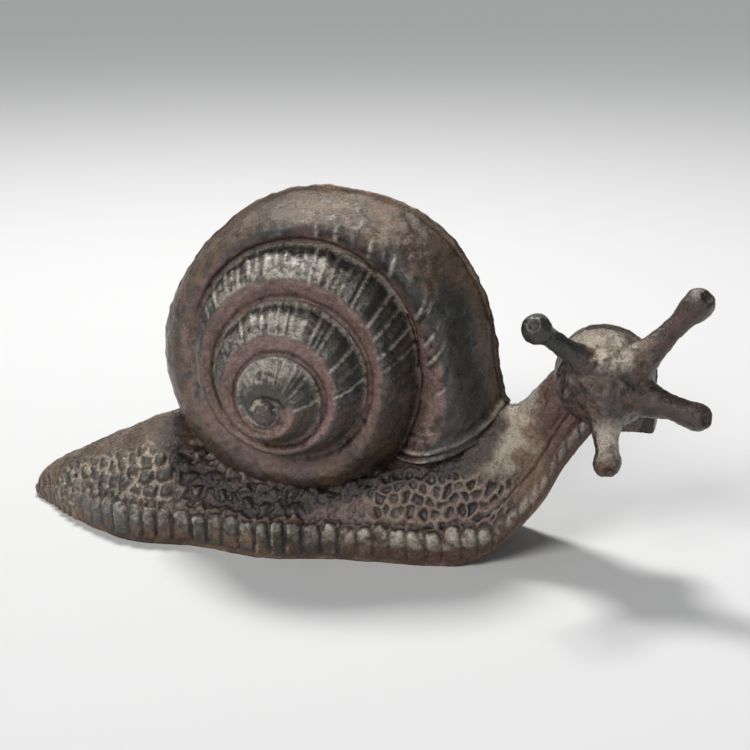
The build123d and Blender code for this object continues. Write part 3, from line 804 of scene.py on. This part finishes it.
    number = np.arange(count * FOOT_COLUMNS).reshape(count, FOOT_COLUMNS)
    points = grid.reshape(-1, 3)
    parting = np.full(count, side * SEAM_GAP)
    base = np.stack([sole[:, 0], parting, np.maximum(sole[:, 1], BOX_MARGIN)], axis=-1)
    base_number = len(points) + np.arange(count)
    tail_pole = len(points) + count
    neck_pole = tail_pole + 1
    tip = np.array([[cad_box[0][0] + 0.00005, side * SEAM_GAP, 0.0013]])
    end = (grid[-1, -1] + base[-1])[None, :] / 2
    points = np.concatenate([points, base, tip, end])
    here, ahead = number[:-1], number[1:]
    quads = np.stack([here[:, :-1], here[:, 1:], ahead[:, 1:], ahead[:, :-1]], axis=-1)
    quads = quads.reshape(-1, 4).tolist()
    low, next_low = base_number[:-1], base_number[1:]
    closing = [low, here[:, 0], ahead[:, 0], next_low, here[:, -1], low, next_low, ahead[:, -1]]
    quads += np.stack(closing, axis=-1).reshape(-1, 4).tolist()
    for row, pole in ((0, tail_pole), (-1, neck_pole)):
        loop = [int(base_number[row]), *number[row].tolist()]
        quads += [[a, b, pole] for a, b in zip(loop, loop[1:] + loop[:1])]
    marks = {key: np.concatenate([values.ravel(), np.zeros(count + 2)]) for key, values in marks.items()}
    return make_casting(name, points, quads, marks, material)


near_foot = foot_skin("near_foot", -1, 31, near_iron)
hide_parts("near_half")

# Apex of the spire: the round knob in which the last whorl ends, rough where the mould parted. It
# is cast in one with the shell, so no joint shows round it. Its pale patch at the upper left is a
# painted highlight.
SPIRE_TIP = Vector((-0.0012, -0.0303, 0.0377))
KNOB_RADIUS = 0.0034


def deselect():
    """Nothing selected, before an operator runs."""
    bpy.ops.object.select_all(action="DESELECT")


def pick(pieces):
    """Only these pieces selected, the first one active."""
    deselect()
    for piece in pieces:
        piece.select_set(True)
    bpy.context.view_layer.objects.active = pieces[0]


def freeze():
    """Place, turn and scale of the selected pieces put into their meshes."""
    bpy.ops.object.transform_apply(location=True, rotation=True, scale=True)


def apply_modifier(piece, kind, **settings):
    """Modifier with these settings, applied to the active piece."""
    modifier = piece.modifiers.new(kind.lower(), kind)
    for key, value in settings.items():
        setattr(modifier, key, value)
    bpy.ops.object.modifier_apply(modifier=modifier.name)


def mesh_points(piece):
    """Positions and normals of all the points."""
    count = len(piece.data.vertices)
    points = np.empty(count * 3)
    normals = np.empty(count * 3)
    piece.data.vertices.foreach_get("co", points)
    piece.data.vertex_normals.foreach_get("vector", normals)
    return points.reshape(-1, 3), normals.reshape(-1, 3)


def set_points(piece, points):
    """Move all the points of a piece."""
    piece.data.vertices.foreach_set("co", inside_box(points).ravel())
    piece.data.update()


deselect()
bpy.ops.mesh.primitive_ico_sphere_add(subdivisions=6, radius=KNOB_RADIUS, location=SPIRE_TIP)
knob = bpy.context.object
knob.name = "spire_knob"
knob.data.name = "spire_knob"
freeze()
points, normals = mesh_points(knob)
grit = noise(points, 0.0011, 71)
chips = noise(points, 0.0026, 72)
# painted highlight: pale on the side toward the upper left front
toward_highlight = (points - np.array(SPIRE_TIP)) @ np.array((-0.55, -0.45, 0.7)) / KNOB_RADIUS
painted_highlight = ramp(toward_highlight + 0.6 * (chips - 0.5), 0.92, 1.02)
rise = 0.0005 * (chips - 0.5) + 0.00035 * (grit - 0.5) + 0.0002 * painted_highlight
set_points(knob, points + normals * rise[:, None])
dress(knob, {
    "dust_and_highlight": painted_highlight, "panel": 0.75 * (1 - painted_highlight), "bloom": 0.6 * (1 - painted_highlight),
    "painted_shade_and_stain": 0.4 * fall(chips, 0.2, 0.4), "rust": 0.2 * grit,
}, near_iron)
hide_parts("near_half")

# Head of the near casting: an egg turned to the side, with four knobbed tentacles that flare out
# of it. Head and tentacles are one lump of iron, cut off flat where the far casting meets it.
HEAD_MIDDLE = Vector((0.0685, -0.0035, 0.0443))
HEAD_TURN = np.radians(-58)
HEAD_HALF = (0.0125, 0.0108, 0.0108)
VOXEL = 0.00028
STALK_SIDES = 32
TENTACLES = (
    # name, root, tip, radius at the root, of the stalk and of the knob, knob length, in mm
    ("near_upper", (68.0, -9.0, 47.5), (56.6, -21.0, 59.0), 3.9, 2.05, 3.3, 4.0),
    ("far_upper", (73.5, -9.0, 46.5), (88.2, -6.0, 63.3), 4.9, 2.15, 3.45, 7.0),
    ("far_lower", (74.5, -8.5, 43.0), (90.0, -11.0, 39.8), 5.0, 2.55, 2.95, 6.0),
    ("near_lower", (70.0, -10.5, 40.0), (71.9, -16.0, 28.6), 4.9, 2.45, 3.0, 3.5),
)


def egg(turn):
    """Egg of the head, with its long axis turned about the upright."""
    bpy.ops.mesh.primitive_uv_sphere_add(
        segments=64, ring_count=32, location=HEAD_MIDDLE, rotation=(0, 0, turn), scale=HEAD_HALF
    )
    freeze()
    return bpy.context.object


def ring_of(shape, sides, spot):
    """Ring of new points, each at spot(cosine, sine)."""
    return [shape.verts.new(spot(np.cos(a), np.sin(a))) for a in np.arange(sides) * TURN / sides]


def bridge(shape, rings):
    """Faces from each ring to the next."""
    for low, high in zip(rings, rings[1:]):
        for k, after in enumerate([*range(1, len(low)), 0]):
            shape.faces.new((low[k], low[after], high[after], high[k]))


def tentacle_stalk(root, tip, root_radius, stalk_radius, knob_radius, knob_length):
    """Stalk turned round its axis: flared where it leaves the head, swollen to a knob at the end."""
    axis = tip - root
    reach = axis.length
    place = reach * np.linspace(0, 1, 60)
    flare = (root_radius - stalk_radius) * np.exp(-((place / (0.42 * reach)) ** 1.7))
    swell = (knob_radius - stalk_radius) * ramp(place, reach - knob_length, reach)
    radius = stalk_radius + flare + swell
    cap = np.linspace(0, np.pi / 2, 14)[1:]
    place = np.concatenate([place, reach + knob_radius * np.sin(cap)])
    radius = np.concatenate([radius, knob_radius * np.cos(cap)])
    bpy.ops.mesh.primitive_cylinder_add(vertices=STALK_SIDES, radius=1, depth=1, end_fill_type="NOTHING")
    stalk = bpy.context.object
    shape = bmesh.new()
    turn = axis.to_track_quat("Z", "Y").to_matrix()
    loops = [
        ring_of(shape, STALK_SIDES, lambda c, s: root + turn @ Vector((wide * c, wide * s, along)))
        for along, wide in zip(place, np.maximum(radius, 0.00002))
    ]
    bridge(shape, loops)
    shape.faces.new(loops[0][::-1])
    shape.faces.new(loops[-1])
    shape.to_mesh(stalk.data)
    shape.free()
    stalk.matrix_world.identity()
    return stalk


def melt_together(name, parts, voxel, rounds):
    """Parts joined and remeshed as one lump, with the joins rounded off."""
    pick(parts)
    bpy.ops.object.join()
    lump = bpy.context.object
    lump.name = name
    lump.data.name = name
    apply_modifier(lump, "REMESH", mode="VOXEL", voxel_size=voxel)
    apply_modifier(lump, "SMOOTH", factor=0.5, iterations=rounds)
    return lump


def cut_flat(piece, side):
    """The piece cut off at the parting plane and closed there."""
    shape = bmesh.new()
    shape.from_mesh(piece.data)
    everything = shape.verts[:] + shape.edges[:] + shape.faces[:]
    cut = bmesh.ops.bisect_plane(
        shape, geom=everything, plane_co=(0, side * SEAM_GAP, 0), plane_no=(0, -side, 0), clear_outer=True
    )
    edges = [e for e in cut["geom_cut"] if isinstance(e, bmesh.types.BMEdge)]
    bmesh.ops.holes_fill(shape, edges=edges, sides=0)
    bmesh.ops.triangulate(shape, faces=[f for f in shape.faces if len(f.verts) > 4])
    bmesh.ops.recalc_face_normals(shape, faces=shape.faces)
    shape.to_mesh(piece.data)
    shape.free()


def read_stalks(points, eye_radius):
    """Each point's tentacle, place along it and distance from it, and the hollow eyes' mask."""
    along = np.empty((len(TENTACLES), len(points)))
    off_axis = np.empty((len(TENTACLES), len(points)))
    eye = np.zeros(len(points))
    for k, (_, root, tip, _, _, knob_radius, _) in enumerate(TENTACLES):
        root, tip = np.array(root) * MM, np.array(tip) * MM
        axis = tip - root
        along[k] = (points - root) @ axis / (axis @ axis)
        nearest = root + np.clip(along[k], 0, 1)[:, None] * axis
        off_axis[k] = np.linalg.norm(points - nearest, axis=1)
        look = axis / np.linalg.norm(axis) * 0.75 + camera_side
        look /= np.linalg.norm(look)
        spot = tip + look * knob_radius * MM
        eye = np.maximum(eye, np.exp(-((np.linalg.norm(points - spot, axis=1) / eye_radius) ** 4)))
    owner = np.argmin(off_axis / MM - 3 * np.clip(along, 0, 1), axis=0)
    return owner, along[owner, np.arange(len(points))], off_axis.min(axis=0), eye


deselect()
camera_side = np.array(view_back)
lumps = [egg(HEAD_TURN)]
for _, root, tip, *radii in TENTACLES:
    lumps.append(tentacle_stalk(Vector(root) * MM, Vector(tip) * MM, *[MM * size for size in radii]))
near_head = melt_together("near_head", lumps, VOXEL, 14)

points, normals = mesh_points(near_head)
rough = noise(points, 0.0034, 81)
mid = noise(points, 0.0015, 82)
fine = noise(points, 0.0007, 83)
_, own_along, off_axis, eye = read_stalks(points, 0.0013)
on_stalk = ramp(own_along, 0.22, 0.42) * (off_axis < 0.0046)
rise = 0.0007 * (rough - 0.5) + 0.0006 * (mid - 0.5) * (1 - 0.7 * on_stalk) + 0.0002 * (fine - 0.5)
rise -= 0.0008 * eye
seam = bell(points[:, 1], 0, 0.0005)
rise = rise * (1 - 0.6 * seam) - 0.00035 * seam
set_points(near_head, points + normals * rise[:, None])
cut_flat(near_head, -1)

points, normals = mesh_points(near_head)
rough = noise(points, 0.0034, 81)
mid = noise(points, 0.0015, 82)
owner, own_along, _, eye = read_stalks(points, 0.0015)
stalks = [ramp(own_along, 0.2, 0.5) * (owner == k) for k in range(len(TENTACLES))]
off_stalks = 1 - np.max(stalks, axis=0)
crown = ramp(points[:, 2], 0.0485, 0.0515) * ramp(normals[:, 2], 0.2, 0.6) * off_stalks
bare = (1 - crown) * off_stalks
seam = bell(points[:, 1], -SEAM_GAP, 0.0006)
facing_camera = normals @ camera_side
throat = fall(points[:, 2], 0.034, 0.04)
marks = {
    # painted highlight: the near lower stalk pale on its side toward the camera, and the far upper knob pale
    # on its top
    "dust_and_highlight": crown * 0.55 * ramp(rough, 0.2, 0.6)
    + stalks[3] * 0.95 * ramp(facing_camera, 0.25, 0.65) * ramp(1.05 - own_along, 0, 0.25)
    + 0.3 * ramp(mid, 0.6, 0.75) * off_stalks
    + 0.5 * stalks[1] * ramp(own_along, 0.9, 1.1) * ramp(normals[:, 2], 0.3, 0.9),
    # the near upper stalk all green black: partly its patina, partly painted shade
    "panel": stalks[0] + 0.5 * stalks[1] * ramp(own_along, 0.85, 1.05) + 0.3 * stalks[2]
    + 0.5 * ramp(rough, 0.45, 0.6) * bare,
    "bloom": 0.8 * ramp(rough, 0.35, 0.55) * bare,
    # painted shade in the eye hollows and over the face off the crown, besides the dark joint line
    "painted_shade_and_stain": eye * 0.85 + seam * ramp(rough, 0.42, 0.52)
    + 0.6 * fall(mid, 0.25, 0.4) * (1 - crown) + 0.42 * (1 - crown) * (1 - stalks[3]),
    "rust": 0.95 * np.maximum(stalks[1], stalks[2]) + 0.8 * stalks[3]
    + 0.8 * bare * (0.5 + 0.5 * throat) + eye * 0.6,
}
dress(near_head, marks, near_iron)
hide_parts("near_half")

# Shell of the far casting: the same coil, flatter, bored in the middle for the long screw that
# draws it to the near casting. The photograph doesn't show this side.
far_iron = iron_finish("far_iron")
FAR_PROUD = 0.0009
FAR_RELIEF = 0.62
FAR_TURNS = 3.05
HUB_SPOT = (-0.0009, 0.0378)
HUB_RADIUS = 0.0097
HUB_FACE = 0.01984
HUB_STEP_RADIUS = 0.0125
HUB_STEP_FACE = 0.0151
POCKET_RADIUS = 0.0052
SHELL_SEAT = 0.013


def drill(piece, spot, seat, radius, depth):
    """Round pocket sunk into the far side of a casting down to its seat."""
    deselect()
    bpy.ops.mesh.primitive_cylinder_add(
        vertices=96, radius=radius, depth=depth,
        location=(spot[0], seat + depth / 2, spot[1]), rotation=(np.pi / 2, 0, 0),
    )
    bit = bpy.context.object
    freeze()
    pick([piece])
    apply_modifier(piece, "BOOLEAN", operation="DIFFERENCE", object=bit, solver="MANIFOLD")
    bpy.data.objects.remove(bit)


far_shell = shell_skin("far_shell", 1, FAR_PROUD, FAR_RELIEF, FAR_TURNS, 46, 21, far_iron)
drill(far_shell, HUB_SPOT, SHELL_SEAT, POCKET_RADIUS + 0.0012, 0.02)
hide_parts("far_half")

# Hub of the far casting: a plain boss with one step, cast on the coil's middle and counterbored
# for the screw's head.
HUB_SIDES = 96
HUB_BACK = 0.006
SHANK_HOLE_RADIUS = 0.0026
hub_profile = (
    (POCKET_RADIUS, SHELL_SEAT), (POCKET_RADIUS, HUB_FACE - 0.0006), (POCKET_RADIUS + 0.0005, HUB_FACE),
    (HUB_RADIUS - 0.0012, HUB_FACE), (HUB_RADIUS - 0.0003, HUB_FACE - 0.0004),
    (HUB_RADIUS, HUB_FACE - 0.0012),
    (HUB_RADIUS, HUB_STEP_FACE), (HUB_STEP_RADIUS - 0.0005, HUB_STEP_FACE),
    (HUB_STEP_RADIUS, HUB_STEP_FACE - 0.0005), (HUB_STEP_RADIUS, HUB_BACK),
    (SHANK_HOLE_RADIUS, HUB_BACK), (SHANK_HOLE_RADIUS, SHELL_SEAT),
)
hub_shape = bmesh.new()
hub_rings = [
    ring_of(hub_shape, HUB_SIDES, lambda c, s: (HUB_SPOT[0] + radius * c, y, HUB_SPOT[1] + radius * s))
    for radius, y in hub_profile
]
bridge(hub_shape, hub_rings + hub_rings[:1])
bmesh.ops.recalc_face_normals(hub_shape, faces=hub_shape.faces)
hub_mesh = bpy.data.meshes.new("far_hub")
hub_shape.to_mesh(hub_mesh)
hub_shape.free()
far_hub = bpy.data.objects.new("far_hub", hub_mesh)
bpy.context.scene.collection.objects.link(far_hub)
pick([far_hub])
apply_modifier(far_hub, "BEVEL", width=0.0002, segments=2)
points, normals = mesh_points(far_hub)
wear = noise(points, 0.002, 91)
dress(far_hub, {
    "dust_and_highlight": 0.5 * ramp(wear, 0.5, 0.7), "panel": 0.3 * wear, "bloom": 0.4 * wear,
    # painted shade: darker deeper down the pocket
    "painted_shade_and_stain": fall(points[:, 1], 0.0135, 0.0165), "rust": 0.5 * wear,
}, far_iron)
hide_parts("far_half")

# Foot, tail and neck of the far casting, the mirror of the near one, with a pocket in the flank
# for the short screw.
TAIL_SCREW_SPOT = (-0.044, 0.008)
TAIL_SEAT = 0.014
far_foot = foot_skin("far_foot", 1, 51, far_iron)
drill(far_foot, TAIL_SCREW_SPOT, TAIL_SEAT, POCKET_RADIUS, 0.03)
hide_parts("far_half")

# Crown and jaw of the far casting: the plain back of the head, with a square ended jaw under it.
# Like the rest of that casting it stands a little proud of the near one, so the joint line shows.
FAR_HEAD_PROUD = 1.09
JAW_MIDDLE = (0.0724, 0.002, 0.0338)
JAW_SIZE = (0.0152, 0.0078, 0.0072)
FAR_VOXEL = 0.0003
deselect()
back_egg = egg(HEAD_TURN)
for point in back_egg.data.vertices:
    point.co = HEAD_MIDDLE + (point.co - HEAD_MIDDLE) * FAR_HEAD_PROUD
bpy.ops.mesh.primitive_cube_add(size=1, location=JAW_MIDDLE, scale=JAW_SIZE)
jaw = bpy.context.object
freeze()
for corner in jaw.data.vertices:
    if corner.co.x > 0.073 and corner.co.z < 0.034:
        corner.co.z += 0.0009
        corner.co.x -= 0.0006
far_head = melt_together("far_head", [back_egg, jaw], FAR_VOXEL, 6)
points, normals = mesh_points(far_head)
rough = noise(points, 0.003, 95)
fine = noise(points, 0.0008, 96)
seam = bell(points[:, 1], 0, 0.0005)
rise = 0.0004 * (rough - 0.5) + 0.0002 * (fine - 0.5) - 0.0003 * seam
set_points(far_head, points + normals * rise[:, None])
cut_flat(far_head, 1)
points, normals = mesh_points(far_head)
rough = noise(points, 0.003, 95)
on_jaw = fall(points[:, 2], 0.036, 0.039)
seam = bell(points[:, 1], SEAM_GAP, 0.0006)
dress(far_head, {
    "dust_and_highlight": 0.4 * (1 - on_jaw) * ramp(rough, 0.3, 0.6) + 0.25 * on_jaw,
    "panel": 0.3 * on_jaw * rough, "bloom": 0.3 * rough,
    "painted_shade_and_stain": seam * ramp(rough, 0.45, 0.55), "rust": 0.25 * (1 - rough),
}, far_iron)
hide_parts("far_half")

# Screws: slotted cheese heads of plain darkened steel with rust spots, which draw the far casting
# to the near one. They are the CAD's own meshes, seen down in their pockets.
screw_steel = bpy.data.materials.new("screw_steel")
screw_steel.use_nodes = True
tree = screw_steel.node_tree
steel = tree.nodes["Principled BSDF"]
steel.inputs["Metallic"].default_value = 0.85
place = tree.nodes.new("ShaderNodeTexCoord").outputs["Object"]
rust_spots = add_noise(tree, place, "rust spots", 700, 4)
scratches = add_noise(tree, place, "scratches", 2400, 2)
rusty = add_range(tree, rust_spots, 0.45, 0.6)
tree.links.new(add_mix(tree, rusty, (0.17, 0.15, 0.13), (0.12, 0.05, 0.025)), steel.inputs["Base Color"])
tree.links.new(add_range(tree, rust_spots, 0.35, 0.65, 0.32, 0.7), steel.inputs["Roughness"])
bump = add_node(tree, "ShaderNodeBump", "wear", Strength=0.3, Distance=0.0002)
tree.links.new(scratches, bump.inputs["Height"])
tree.links.new(bump.outputs["Normal"], steel.inputs["Normal"])
for name in ("shell_screw", "tail_screw"):
    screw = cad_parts[name]
    screw.data.materials.clear()
    screw.data.materials.append(screw_steel)
